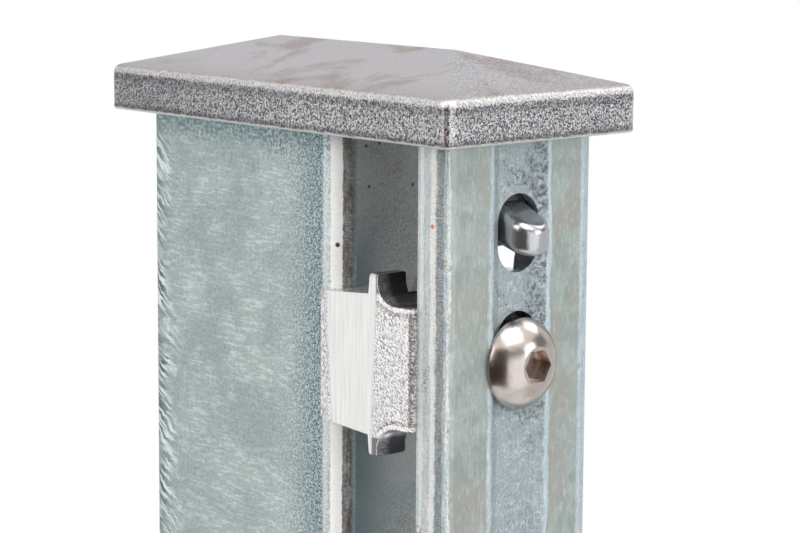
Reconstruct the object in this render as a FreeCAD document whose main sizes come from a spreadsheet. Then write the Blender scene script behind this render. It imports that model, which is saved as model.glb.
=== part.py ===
"""Metal fence post for welded mesh panels.

A galvanised box-section post carries a channel-shaped cover strip on cast clamps.
The panel's wires lie in the open gap between post and strip.
All sizes are millimetres. X runs across the strip, -Y is the front and Z is up.
The origin is the centre of the tube's lower cut end.
"""
import FreeCAD, Part
import math
import os
import Sketcher
from FreeCAD import Placement, Rotation, Vector

doc = FreeCAD.newDocument("fence_post")
sheet = doc.addObject("Spreadsheet::Sheet", "sizes")

# Driving dimensions
SIZES = {
    # post tube: cold-formed rectangular hollow section
    "tube_width": 40.0,
    "tube_depth": 60.0,
    "tube_wall": 2.0,
    "tube_corner": 4.4,
    "tube_length": 1100.0,
    # clamp points up the post
    "point_count": 4,
    "point_spacing": 200.0,
    "top_screw_drop": 48.5,
    # open gap that takes an 8/6/8 double-wire mesh panel
    "panel_gap": 22.0,
    "wire_front": 8.0,
    # cover strip: roll-formed channel with a shallow central groove
    "strip_width": 40.0,
    "strip_depth": 7.0,
    "strip_sheet": 2.0,
    "strip_bend": 3.2,
    "strip_tail": 42.0,
    "strip_top_gap": 0.5,
    "groove_mouth": 14.6,
    "groove_floor": 10.6,
    "groove_sink": 0.8,
    "groove_blend": 1.8,
    # punched upright slots, in pairs at each clamp point
    "slot_width": 10.8,
    "slot_height": 15.0,
    "slot_screw_rise": 2.4,
    "slot_pitch": 22.4,
    # cast hipped cap
    "cap_side_overhang": 5.1,
    "cap_end_overhang": 6.2,
    "cap_skirt": 8.8,
    "cap_cavity": 5.8,
    "cap_roof": 6.6,
    "cap_ridge": 0.8,
    "cap_wall": 2.6,
    "cap_corner": 2.4,
    "cap_hip_round": 2.0,
    "cap_edge": 1.8,
    "cap_rim": 0.6,
    "spigot_clearance": 0.4,
    "spigot_wall": 2.5,
    "spigot_length": 14.0,
    # cast clamp: spacer body, two wire lugs, and a windowed plate with one hooked finger
    "clamp_side_wrap": 2.7,
    "clamp_front_taper": 1.4,
    "clamp_body": 27.0,
    "clamp_rear": 24.8,
    "clamp_saddle": 23.3,
    "saddle_round": 4.3,
    "wing_reach": 2.9,
    "wing_bevel": 0.6,
    "seat_clearance": 0.15,
    "lug_height": 34.8,
    "lug_width": 7.2,
    "lug_thickness": 2.2,
    "lug_draft": 0.4,
    "cast_round": 1.0,
    "lug_round": 0.6,
    "core_inner": 9.0,
    "core_outer": 18.0,
    "core_height": 18.0,
    "core_front_wall": 3.5,
    "screw_clearance": 0.5,
    "plate_clearance": 0.2,
    "plate_thickness": 2.9,
    "plate_side_gap": 3.0,
    "plate_rise": 9.7,
    "plate_corner": 3.0,
    "window_drop": 12.3,
    "window_rim": 0.5,
    "finger_side_gap": 1.1,
    "finger_nose_reach": 5.5,
    "finger_nose_drop": 4.6,
    "finger_nose_rise": 1.6,
    "finger_root_drop": 2.0,
    "finger_root_rise": 5.8,
    "finger_nose_round": 4.2,
    "finger_edge": 2.0,
    # button-head socket screw, size ten
    "screw_size": 10.0,
    "screw_bite": 11.0,
    "screw_tip": 1.0,
    "head_diameter": 17.5,
    "head_height": 5.0,
    "head_rim": 0.7,
    "head_flat": 7.6,
    "head_arc": 8.4,
    "hex_flats": 6.0,
    "hex_depth": 3.2,
    # rivet nut set in the tube's front wall
    "nut_thread_gap": 0.05,
    "nut_barrel": 12.9,
    "nut_hole_gap": 0.1,
    "nut_flange": 15.0,
    "nut_flange_height": 1.0,
    "nut_bulge": 16.4,
    "nut_bulge_height": 3.0,
    "nut_length": 16.0,
    "counterbore_gap": 0.5,
    "counterbore_depth": 1.2,
}

# Sizes worked out from the driving ones, so that the pieces keep together
WORKED_SIZES = {
    "cap_width": "=tube_width + 2 * cap_side_overhang",
    "cap_length": "=tube_depth + panel_gap + strip_depth + 2 * cap_end_overhang",
    "lowest_screw": "=tube_length - top_screw_drop - (point_count - 1) * point_spacing",
    "strip_length": "=tube_length - strip_top_gap - lowest_screw + strip_tail",
    "clamp_width": "=tube_width + 2 * clamp_side_wrap",
    "clamp_front_width": "=clamp_width - 2 * clamp_front_taper",
    "plate_width": "=strip_width - 2 * (strip_sheet + plate_side_gap)",
    "finger_width": "=slot_width - 2 * finger_side_gap",
    "finger_level": "=slot_screw_rise + slot_pitch",
    "screw_length": "=strip_depth + panel_gap + screw_bite",
}

for row, (alias, number) in enumerate((SIZES | WORKED_SIZES).items(), start=1):
    sheet.set("A%d" % row, alias)
    sheet.set("B%d" % row, str(number))
    sheet.setAlias("B%d" % row, alias)
doc.recompute()

FACE_TOLERANCE = 0.05


def size(alias):
    """One driving dimension, read back from the sheet."""
    return float(sheet.get(alias))


def worked_out(expression):
    """The present value of an expression over the sheet."""
    return float(sheet.evalExpression(expression))


def new_body(name):
    body = doc.addObject("PartDesign::Body", name)
    body.Label = name
    return body


def new_sketch(body, name, role, lift=None):
    """A sketch on one of the body's own origin planes, lifted along the plane's normal."""
    plane = next(item for item in body.Origin.OriginFeatures if item.Role == role)
    sketch = body.newObject("Sketcher::SketchObject", name)
    sketch.AttachmentSupport = [(plane, "")]
    sketch.MapMode = "FlatFace"
    if lift:
        sketch.setExpression("AttachmentOffset.Base.z", lift)
    return sketch


def pin(sketch, geometry, position, across, along):
    """Hold one point of a sketch at an across and an along distance from the origin."""
    for kind, expression in (("DistanceX", across), ("DistanceY", along)):
        distance = Sketcher.Constraint(kind, -1, 1, geometry, position, worked_out(expression))
        number = sketch.addConstraint(distance)
        sketch.setExpression("Constraints[%d]" % number, expression)


def outline(sketch, corners):
    """A closed loop of straight edges through corners given as pairs of expressions."""
    points = [Vector(worked_out(across), worked_out(along), 0) for across, along in corners]
    first = sketch.GeometryCount
    for start, end in zip(points, points[1:] + points[:1]):
        sketch.addGeometry(Part.LineSegment(start, end), False)
    last = sketch.GeometryCount - 1
    for number, (across, along) in enumerate(corners, start=first):
        following = number + 1 if number < last else first
        sketch.addConstraint(Sketcher.Constraint("Coincident", number, 2, following, 1))
        pin(sketch, number, 1, across, along)


def rectangle(sketch, left, right, low, high):
    outline(sketch, [(left, low), (right, low), (right, high), (left, high)])


def circle(sketch, across, along, radius):
    centre = Vector(worked_out(across), worked_out(along), 0)
    number = sketch.addGeometry(Part.Circle(centre, Vector(0, 0, 1), worked_out(radius)), False)
    pin(sketch, number, 3, across, along)
    held = sketch.addConstraint(Sketcher.Constraint("Radius", number, worked_out(radius)))
    sketch.setExpression("Constraints[%d]" % held, radius)


def upright_slot(sketch, low, high, radius):
    """A slot with round ends, centred across, between two end-circle centres."""
    bottom, top, reach = worked_out(low), worked_out(high), worked_out(radius)
    upper = Part.ArcOfCircle(Part.Circle(Vector(0, top, 0), Vector(0, 0, 1), reach), 0, math.pi)
    lower = Part.ArcOfCircle(Part.Circle(Vector(0, bottom, 0), Vector(0, 0, 1), reach),
                             math.pi, 2 * math.pi)
    first = sketch.addGeometry(upper, False)
    sketch.addGeometry(Part.LineSegment(Vector(-reach, top, 0), Vector(-reach, bottom, 0)), False)
    sketch.addGeometry(lower, False)
    sketch.addGeometry(Part.LineSegment(Vector(reach, bottom, 0), Vector(reach, top, 0)), False)
    left, foot, right = first + 1, first + 2, first + 3
    for one, one_end, other, other_end in ((first, 2, left, 1), (left, 2, foot, 1),
                                           (foot, 2, right, 1), (right, 2, first, 1)):
        sketch.addConstraint(Sketcher.Constraint("Tangent", one, one_end, other, other_end))
    held = sketch.addConstraint(Sketcher.Constraint("Radius", first, reach))
    sketch.setExpression("Constraints[%d]" % held, radius)
    pin(sketch, first, 3, "0 * sizes.slot_width", high)
    drop = sketch.addConstraint(Sketcher.Constraint("DistanceY", -1, 1, foot, 3, bottom))
    sketch.setExpression("Constraints[%d]" % drop, low)


def pad(body, sketch, length, symmetric=False, reverse=False):
    feature = body.newObject("PartDesign::Pad", sketch.Name + "_pad")
    feature.Profile = sketch
    feature.setExpression("Length", length)
    feature.Midplane = symmetric
    feature.Reversed = reverse
    sketch.Visibility = False
    doc.recompute()
    return feature


def pocket(body, sketch, length, symmetric=False, reverse=False):
    """Cut a sketch out of the body, and make sure that it removed material."""
    before = body.Shape.Volume
    feature = body.newObject("PartDesign::Pocket", sketch.Name + "_cut")
    feature.Profile = sketch
    feature.setExpression("Length", length)
    feature.Midplane = symmetric
    feature.Reversed = reverse
    sketch.Visibility = False
    doc.recompute()
    if body.Shape.Volume > before - 1.0:
        raise RuntimeError("%s cuts nothing" % feature.Name)
    return feature


def round_edges(body, name, radius, chosen):
    """Round the edges of the body's present solid for which chosen(edge) holds."""
    base = body.Tip
    names = ["Edge%d" % number for number, edge in enumerate(base.Shape.Edges, start=1) if chosen(edge)]
    if not names:
        raise RuntimeError("%s finds no edges" % name)
    feature = body.newObject("PartDesign::Fillet", name)
    feature.Base = (base, names)
    feature.setExpression("Radius", radius)
    doc.recompute()
    return feature


def runs_along(edge, axis):
    """True for a straight edge that runs along X, Y or Z, given as 0, 1 or 2."""
    if edge.Degenerated or edge.Curve.TypeId != "Part::GeomLine":
        return False
    return abs(abs(edge.Curve.Direction[axis]) - 1.0) < FACE_TOLERANCE


def near(value, target):
    return abs(value - target) < FACE_TOLERANCE


def points_list():
    """Heights of the clamp points, from the top down."""
    top = size("tube_length") - size("top_screw_drop")
    return [top - number * size("point_spacing") for number in range(int(size("point_count")))]


# Post tube
def post_tube():
    """Box section with bent corners, and one hole for a rivet nut at each clamp point."""
    body = new_body("post_tube")
    section = new_sketch(body, "tube_section", "XY_Plane")
    rectangle(section, "-sizes.tube_width / 2", "sizes.tube_width / 2",
              "-sizes.tube_depth / 2", "sizes.tube_depth / 2")
    pad(body, section, "sizes.tube_length")
    round_edges(body, "tube_outer_bends", "sizes.tube_corner", lambda edge: runs_along(edge, 2))
    bore = new_sketch(body, "tube_inside", "XY_Plane")
    rectangle(bore, "sizes.tube_wall - sizes.tube_width / 2", "sizes.tube_width / 2 - sizes.tube_wall",
              "sizes.tube_wall - sizes.tube_depth / 2", "sizes.tube_depth / 2 - sizes.tube_wall")
    pocket(body, bore, "sizes.tube_length", reverse=True)
    inner_x = size("tube_width") / 2 - size("tube_wall")
    inner_y = size("tube_depth") / 2 - size("tube_wall")
    round_edges(body, "tube_inner_bends", "sizes.tube_corner - sizes.tube_wall",
                lambda edge: runs_along(edge, 2)
                and near(abs(edge.CenterOfMass.x), inner_x) and near(abs(edge.CenterOfMass.y), inner_y))
    holes = new_sketch(body, "nut_holes", "XZ_Plane")
    for number in range(int(size("point_count"))):
        height = "sizes.tube_length - sizes.top_screw_drop - %d * sizes.point_spacing" % number
        circle(holes, "0 * sizes.nut_barrel", height, "(sizes.nut_barrel + sizes.nut_hole_gap) / 2")
    pocket(body, holes, "sizes.tube_depth", reverse=True)
    return body


# Cover strip
def cover_strip():
    """Channel with rounded bends and a shallow groove, open to the rear, slotted in pairs."""
    body = new_body("cover_strip")
    rear = "-(sizes.tube_depth / 2 + sizes.panel_gap)"
    face = rear + " - sizes.strip_depth"
    back = face + " + sizes.strip_sheet"
    half = "sizes.strip_width / 2"
    inner = half + " - sizes.strip_sheet"
    mouth = "sizes.groove_mouth / 2"
    floor = "sizes.groove_floor / 2"
    sunk = " + sizes.groove_sink"
    right = [(floor, face + sunk), (mouth, face), (half, face), (half, rear), (inner, rear),
             (inner, back), (mouth, back), (floor, back + sunk)]
    left = [("-(%s)" % across, along) for across, along in reversed(right)]
    section = new_sketch(body, "strip_section", "XY_Plane",
                         "sizes.tube_length - sizes.strip_top_gap - sizes.strip_length")
    outline(section, right + left)
    pad(body, section, "sizes.strip_length")
    half_width = size("strip_width") / 2
    front = -(size("tube_depth") / 2 + size("panel_gap") + size("strip_depth"))
    inside = half_width - size("strip_sheet")

    def corner(edge, across, along):
        middle = edge.CenterOfMass
        return runs_along(edge, 2) and near(abs(middle.x), across) and near(middle.y, along)

    round_edges(body, "strip_outer_bends", "sizes.strip_bend",
                lambda edge: corner(edge, half_width, front))
    round_edges(body, "strip_inner_bends", "sizes.strip_bend - sizes.strip_sheet",
                lambda edge: corner(edge, inside, front + size("strip_sheet")))
    round_edges(body, "groove_blends", "sizes.groove_blend",
                lambda edge: runs_along(edge, 2) and abs(edge.CenterOfMass.x) < half_width / 2)
    slots = new_sketch(body, "strip_slots", "XZ_Plane")
    radius = "sizes.slot_width / 2"
    reach = "(sizes.slot_height - sizes.slot_width) / 2"
    for number in range(int(size("point_count"))):
        for step in (0, 1):
            centre = ("sizes.tube_length - sizes.top_screw_drop - %d * sizes.point_spacing"
                      " + sizes.slot_screw_rise + %d * sizes.slot_pitch" % (number, step))
            upright_slot(slots, "%s - %s" % (centre, reach), "%s + %s" % (centre, reach), radius)
    pocket(body, slots, "sizes.tube_depth + sizes.panel_gap", reverse=True)
    return body


# Post cap
def post_cap():
    """Cast cap with a hipped roof, a skirt round post and strip, and a spigot inside the tube."""
    body = new_body("post_cap")
    rim = "sizes.tube_length - sizes.cap_cavity"
    eave = rim + " + sizes.cap_skirt"
    middle = "-(sizes.panel_gap + sizes.strip_depth) / 2"
    ridge = eave + " + sizes.cap_roof"
    over = ridge + " + sizes.cap_roof"
    block = new_sketch(body, "cap_outline", "XY_Plane", rim)
    rectangle(block, "-sizes.cap_width / 2", "sizes.cap_width / 2",
              middle + " - sizes.cap_length / 2", middle + " + sizes.cap_length / 2")
    pad(body, block, "sizes.cap_skirt + sizes.cap_roof")
    round_edges(body, "cap_corners", "sizes.cap_corner", lambda edge: runs_along(edge, 2))
    slopes = new_sketch(body, "cap_side_slopes", "XZ_Plane")
    for sign in ("", "-"):
        outline(slopes, [("%s%s" % (sign, across), up) for across, up in (
            ("sizes.cap_width / 2", eave), ("sizes.cap_ridge / 2", ridge), ("sizes.cap_ridge / 2", over),
            ("sizes.cap_width", over), ("sizes.cap_width", eave))])
    pocket(body, slopes, "4 * sizes.cap_length", symmetric=True)
    hips = new_sketch(body, "cap_end_slopes", "YZ_Plane")
    run = "(sizes.cap_length - sizes.cap_width + sizes.cap_ridge) / 2"
    for sign in ("+", "-"):
        outline(hips, [("%s %s %s" % (middle, sign, along), up) for along, up in (
            ("sizes.cap_length / 2", eave), (run, ridge), (run, over),
            ("sizes.cap_length", over), ("sizes.cap_length", eave))])
    pocket(body, hips, "2 * sizes.cap_width", symmetric=True)
    eave_height = worked_out(eave)
    round_edges(body, "cap_hips", "sizes.cap_hip_round",
                lambda edge: edge.BoundBox.ZMax > eave_height + size("cap_roof") / 2)
    round_edges(body, "cap_eave_edge", "sizes.cap_edge",
                lambda edge: near(edge.BoundBox.ZMin, eave_height)
                and edge.BoundBox.ZMax < eave_height + size("cap_corner") / 2)
    rim_height = worked_out(rim)
    round_edges(body, "cap_rim_edge", "sizes.cap_rim",
                lambda edge: edge.BoundBox.ZMax < rim_height + FACE_TOLERANCE)
    inside = new_sketch(body, "cap_inside", "XY_Plane", rim)
    hollow = " - 2 * sizes.cap_wall) / 2"
    rectangle(inside, "-(sizes.cap_width" + hollow, "(sizes.cap_width" + hollow,
              middle + " - (sizes.cap_length" + hollow, middle + " + (sizes.cap_length" + hollow)
    pocket(body, inside, "sizes.cap_cavity", reverse=True)
    spigot = new_sketch(body, "cap_spigot", "XY_Plane", "sizes.tube_length")
    for inset in ("sizes.tube_wall + sizes.spigot_clearance",
                  "sizes.tube_wall + sizes.spigot_clearance + sizes.spigot_wall"):
        rectangle(spigot, "%s - sizes.tube_width / 2" % inset, "sizes.tube_width / 2 - (%s)" % inset,
                  "%s - sizes.tube_depth / 2" % inset, "sizes.tube_depth / 2 - (%s)" % inset)
    pad(body, spigot, "sizes.spigot_length", reverse=True)
    spigot_x = size("tube_width") / 2 - size("tube_wall") - size("spigot_clearance")
    round_edges(body, "spigot_corners", "sizes.tube_corner - sizes.tube_wall",
                lambda edge: runs_along(edge, 2) and near(abs(edge.CenterOfMass.x), spigot_x))
    return body


# Panel clamp
def panel_clamp(name, height):
    """Cast spacer between strip and tube.

    Its front steps down to saddles for the panel's wires, in front of thin upright lugs.
    Its rear wings wrap the tube's bent corners. A plate stands up inside the strip's channel,
    and a finger hooks out from it through the slot, above a window of the finger's own width.
    Here y starts at the clamp's front face, and z at its own middle.
    """
    body = new_body(name)
    saddle = "sizes.clamp_saddle / 2"
    lug = "sizes.lug_height / 2"
    shoulder = "sizes.clamp_body / 2"
    rear = "sizes.clamp_rear / 2"
    wing = "(sizes.panel_gap + sizes.tube_depth / 2)"
    lug_root = "sizes.wire_front + sizes.lug_thickness + sizes.lug_draft"
    zero = "0 * sizes.clamp_body"
    upper = [(zero, saddle), ("sizes.wire_front", saddle), ("sizes.wire_front", lug),
             ("sizes.wire_front + sizes.lug_thickness", lug), (lug_root, shoulder),
             ("sizes.panel_gap + sizes.wing_reach", rear), (wing, rear)]
    lower = [(along, "-(%s)" % up) for along, up in reversed(upper)]
    profile = new_sketch(body, name + "_profile", "YZ_Plane")
    outline(profile, upper + lower)
    pad(body, profile, "sizes.clamp_width", symmetric=True)
    saddle_height = size("clamp_saddle") / 2
    lug_front = size("wire_front")
    round_edges(body, name + "_saddles", "sizes.saddle_round",
                lambda edge: runs_along(edge, 0) and near(edge.CenterOfMass.y, lug_front)
                and near(abs(edge.CenterOfMass.z), saddle_height))

    window = new_sketch(body, name + "_windows", "XZ_Plane")
    span = "sizes.clamp_width / 2 - sizes.lug_width"
    clear = "sizes.lug_height"
    rectangle(window, "-(%s)" % span, span, shoulder, clear)
    rectangle(window, "-(%s)" % span, span, "-" + clear, "-" + shoulder)
    pocket(body, window, "4 * sizes.panel_gap", symmetric=True)

    seat = new_sketch(body, name + "_seat", "XY_Plane")
    half_seat = "sizes.tube_width / 2 + sizes.seat_clearance"
    rectangle(seat, "-(%s)" % half_seat, half_seat, "sizes.panel_gap", wing + " * 2")
    pocket(body, seat, "2 * sizes.lug_height", symmetric=True)
    seat_x, seat_y = worked_out(half_seat), size("panel_gap")
    round_edges(body, name + "_seat_corners", "sizes.tube_corner",
                lambda edge: runs_along(edge, 2) and near(abs(edge.CenterOfMass.x), seat_x)
                and near(edge.CenterOfMass.y, seat_y))

    trims = new_sketch(body, name + "_trims", "XY_Plane")
    side = "sizes.clamp_width / 2"
    narrow = "sizes.clamp_front_width / 2"
    outside = "sizes.clamp_width"
    tip = "sizes.panel_gap + sizes.wing_reach"
    beyond = wing + " * 2"
    for sign in ("", "-"):
        front_trim = [(outside, "-1 * sizes.wire_front"), (narrow, "-1 * sizes.wire_front"), (narrow, zero),
                      (side, "sizes.wire_front"), (outside, "sizes.wire_front")]
        outline(trims, [("%s(%s)" % (sign, across), along) for across, along in front_trim])
    bevel = side + " - sizes.wing_bevel"
    outline(trims, [("-" + outside, "sizes.panel_gap"), ("-(%s)" % side, "sizes.panel_gap"),
                    ("-(%s)" % bevel, tip), (bevel, tip), (side, "sizes.panel_gap"),
                    (outside, "sizes.panel_gap"), (outside, beyond), ("-" + outside, beyond)])
    pocket(body, trims, "2 * sizes.lug_height", symmetric=True)

    cores = new_sketch(body, name + "_cores", "XY_Plane")
    rectangle(cores, "sizes.core_inner", "sizes.core_outer", "sizes.core_front_wall", "sizes.panel_gap")
    rectangle(cores, "-sizes.core_outer", "-sizes.core_inner", "sizes.core_front_wall", "sizes.panel_gap")
    pocket(body, cores, "sizes.core_height", symmetric=True)

    side_x = size("clamp_width") / 2
    lug_top = size("lug_height") / 2
    narrow_x = size("clamp_front_width") / 2
    round_edges(body, name + "_lug_edges", "sizes.lug_round",
                lambda edge: runs_along(edge, 1) and near(abs(edge.CenterOfMass.z), lug_top))
    round_edges(body, name + "_front_corners", "sizes.cast_round",
                lambda edge: runs_along(edge, 2) and near(abs(edge.CenterOfMass.x), narrow_x)
                and near(edge.CenterOfMass.y, 0))

    plate_front = "sizes.strip_depth - sizes.strip_sheet - sizes.groove_sink - sizes.plate_clearance"
    half_plate = "sizes.plate_width / 2"
    foot = new_sketch(body, name + "_plate_foot", "XZ_Plane", plate_front)
    rectangle(foot, "-" + half_plate, half_plate, "-(%s)" % saddle, saddle)
    pad(body, foot, plate_front + " + sizes.lug_draft", reverse=True)
    plate = new_sketch(body, name + "_plate", "XZ_Plane", plate_front)
    plate_top = "sizes.finger_level + sizes.plate_rise"
    rectangle(plate, "-" + half_plate, half_plate, zero, plate_top)
    pad(body, plate, "sizes.plate_thickness", reverse=True)
    plate_top_z = worked_out(plate_top)
    round_edges(body, name + "_plate_corners", "sizes.plate_corner",
                lambda edge: runs_along(edge, 1) and near(edge.CenterOfMass.z, plate_top_z))
    opening = new_sketch(body, name + "_plate_window", "XZ_Plane", plate_front)
    half_finger = "sizes.finger_width / 2"
    root_low = "sizes.finger_level - sizes.finger_root_drop"
    rectangle(opening, "-" + half_finger, half_finger,
              "sizes.finger_level - sizes.window_drop", root_low + " - sizes.window_rim")
    pocket(body, opening, "sizes.plate_thickness")

    finger = new_sketch(body, name + "_finger", "YZ_Plane")
    root = "sizes.plate_thickness / 2 - (%s)" % plate_front
    face = "-(%s)" % plate_front
    nose = "-(sizes.strip_depth + sizes.finger_nose_reach)"
    root_high = "sizes.finger_level + sizes.finger_root_rise"
    outline(finger, [(root, root_low), (face, root_low),
                     (nose, "sizes.finger_level - sizes.finger_nose_drop"),
                     (nose, "sizes.finger_level + sizes.finger_nose_rise"),
                     (face, root_high), (root, root_high)])
    pad(body, finger, "sizes.finger_width", symmetric=True)
    nose_y = worked_out(nose)
    round_edges(body, name + "_finger_nose", "sizes.finger_nose_round",
                lambda edge: runs_along(edge, 2) and near(edge.CenterOfMass.y, nose_y))
    face_y = worked_out(face)
    round_edges(body, name + "_finger_edges", "sizes.finger_edge",
                lambda edge: edge.BoundBox.YMin < face_y - FACE_TOLERANCE
                and edge.BoundBox.YMax < face_y + FACE_TOLERANCE and not runs_along(edge, 2))

    bore = new_sketch(body, name + "_bore", "XZ_Plane")
    circle(bore, zero, zero, "sizes.screw_size / 2 + sizes.screw_clearance")
    pocket(body, bore, "4 * sizes.panel_gap", symmetric=True)
    recess = new_sketch(body, name + "_nut_recess", "XZ_Plane", "-sizes.panel_gap")
    circle(recess, zero, zero, "sizes.nut_flange / 2 + sizes.counterbore_gap")
    pocket(body, recess, "2 * sizes.counterbore_depth", symmetric=True)
    front = -(size("tube_depth") / 2 + size("panel_gap"))
    body.Placement = Placement(Vector(0, front, height), Rotation())
    return body


# Clamp screw
def clamp_screw(name, height):
    """Button-head screw with a hexagon socket, modelled head up and turned to face the front."""
    body = new_body(name)
    section = new_sketch(body, name + "_section", "XZ_Plane")
    axis = "0 * sizes.screw_size"
    shank = "sizes.screw_size / 2"
    corners = [(axis, "sizes.head_height"), ("sizes.head_flat / 2", "sizes.head_height"),
               ("sizes.head_diameter / 2", "sizes.head_rim"), ("sizes.head_diameter / 2", axis),
               (shank, axis), (shank, "sizes.screw_tip - sizes.screw_length"),
               (shank + " - sizes.screw_tip", "-sizes.screw_length"), (axis, "-sizes.screw_length")]
    points = [Vector(worked_out(across), worked_out(along), 0) for across, along in corners]
    crown, rim = points[1], points[2]
    chord = rim - crown
    offset = (size("head_arc") ** 2 - (chord.Length / 2) ** 2) ** 0.5
    inward = Vector(chord.y, -chord.x, 0).normalize() * offset
    centre = (crown + rim) * 0.5 + inward
    dome = Part.Circle(centre, Vector(0, 0, 1), size("head_arc"))
    for number, (start, end) in enumerate(zip(points, points[1:] + points[:1])):
        if number == 1:
            arc = Part.ArcOfCircle(dome, dome.parameter(rim), dome.parameter(crown))
            section.addGeometry(arc, False)
        else:
            section.addGeometry(Part.LineSegment(start, end), False)
    last = len(corners) - 1
    for number, (across, along) in enumerate(corners):
        following = number + 1 if number < last else 0
        end, start = (1 if number == 1 else 2), (2 if following == 1 else 1)
        section.addConstraint(Sketcher.Constraint("Coincident", number, end, following, start))
        pin(section, number, 2 if number == 1 else 1, across, along)
    held = section.addConstraint(Sketcher.Constraint("Radius", 1, size("head_arc")))
    section.setExpression("Constraints[%d]" % held, "sizes.head_arc")
    turned = body.newObject("PartDesign::Revolution", name + "_turned")
    turned.Profile = section
    turned.ReferenceAxis = (section, ["V_Axis"])
    turned.Angle = 360.0
    section.Visibility = False
    doc.recompute()
    socket = new_sketch(body, name + "_socket", "XY_Plane", "sizes.head_height")
    point = "sizes.hex_flats / sqrt(3)"
    flat = "sizes.hex_flats / 2"
    outline(socket, [(point, axis), (point + " / 2", flat), ("-%s / 2" % point, flat),
                     ("-" + point, axis), ("-%s / 2" % point, "-" + flat), (point + " / 2", "-" + flat)])
    pocket(body, socket, "sizes.hex_depth")
    front = -(size("tube_depth") / 2 + size("panel_gap") + size("strip_depth"))
    body.Placement = Placement(Vector(0, front, height), Rotation(Vector(1, 0, 0), 90))
    return body


# Rivet nut
def rivet_nut(name, height):
    """Set rivet nut: flange outside the tube's front wall, folded bulge and barrel inside."""
    body = new_body(name)
    section = new_sketch(body, name + "_section", "XZ_Plane")
    thread = "sizes.screw_size / 2 + sizes.nut_thread_gap"
    barrel = "sizes.nut_barrel / 2"
    bulge = "sizes.nut_bulge / 2"
    wall = "-sizes.tube_wall"
    face = "0 * sizes.nut_barrel"
    fold = "-(sizes.tube_wall + sizes.nut_bulge_height)"
    outline(section, [(thread, "sizes.nut_flange_height"),
                      ("sizes.nut_flange / 2", "sizes.nut_flange_height"),
                      ("sizes.nut_flange / 2", face), (barrel, face), (barrel, wall), (bulge, wall),
                      (bulge, fold + " + sizes.nut_flange_height"), (barrel, fold),
                      (barrel, "-sizes.nut_length"), (thread, "-sizes.nut_length")])
    turned = body.newObject("PartDesign::Revolution", name + "_turned")
    turned.Profile = section
    turned.ReferenceAxis = (section, ["V_Axis"])
    turned.Angle = 360.0
    section.Visibility = False
    doc.recompute()
    body.Placement = Placement(Vector(0, -size("tube_depth") / 2, height), Rotation(Vector(1, 0, 0), 90))
    return body


pieces = [post_tube(), cover_strip(), post_cap()]
for number, height in enumerate(points_list(), start=1):
    pieces.append(panel_clamp("panel_clamp_%d" % number, height))
    pieces.append(clamp_screw("clamp_screw_%d" % number, height))
    pieces.append(rivet_nut("rivet_nut_%d" % number, height))
doc.recompute()

for item in doc.Objects:
    if {"Invalid", "Error"} & set(item.State):
        raise RuntimeError("%s failed: %s" % (item.Name, item.State))
for piece in pieces:
    if piece.Shape.isNull() or not piece.Shape.isValid() or len(piece.Shape.Solids) != 1:
        raise RuntimeError("%s has no single valid solid" % piece.Label)

os.makedirs("parts", exist_ok=True)
for piece in pieces:
    piece.Shape.exportStep("parts/%s.step" % piece.Label)
    print(piece.Label, round(piece.Shape.Volume, 1))
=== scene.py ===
"""Looks of the galvanised fence post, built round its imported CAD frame. Metres throughout."""
import math
import bpy
from mathutils import Matrix, Vector

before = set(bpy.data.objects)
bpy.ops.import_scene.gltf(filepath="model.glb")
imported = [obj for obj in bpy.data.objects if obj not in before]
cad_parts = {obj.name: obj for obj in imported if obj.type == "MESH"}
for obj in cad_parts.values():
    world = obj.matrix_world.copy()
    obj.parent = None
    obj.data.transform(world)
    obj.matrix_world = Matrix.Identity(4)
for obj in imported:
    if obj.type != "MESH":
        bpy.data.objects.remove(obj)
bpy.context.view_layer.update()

# Studio
# The post stands on a pale floor before a white background, lit by large soft lamps.
# A long lens looks a little down on the cap's front left corner, from half a metre away.
VIEW_TARGET = Vector((-0.0033, -0.0290, 1.0667))
VIEW_DISTANCE = 0.5228
VIEW_TURN = math.radians(42.544)
VIEW_DOWN = math.radians(8.904)
VIEW_ROLL = math.radians(0.358)
VIEW_LENS = 120.2


def place_camera():
    ahead = Vector((math.sin(VIEW_TURN) * math.cos(VIEW_DOWN), math.cos(VIEW_TURN) * math.cos(VIEW_DOWN),
                    -math.sin(VIEW_DOWN)))
    level = Vector((math.cos(VIEW_TURN), -math.sin(VIEW_TURN), 0.0))
    upright = level.cross(ahead)
    right = level * math.cos(VIEW_ROLL) + upright * math.sin(VIEW_ROLL)
    up = upright * math.cos(VIEW_ROLL) - level * math.sin(VIEW_ROLL)
    data = bpy.data.cameras.new("view")
    data.sensor_width = 36.0
    data.lens = VIEW_LENS
    data.clip_start = 0.01
    data.clip_end = 50.0
    camera = bpy.data.objects.new("view", data)
    turn = Matrix((right, up, -ahead)).transposed().to_4x4()
    camera.matrix_world = Matrix.Translation(VIEW_TARGET - ahead * VIEW_DISTANCE) @ turn
    bpy.context.scene.collection.objects.link(camera)
    bpy.context.scene.camera = camera


place_camera()
bpy.context.scene.view_settings.view_transform = "Standard"


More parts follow.
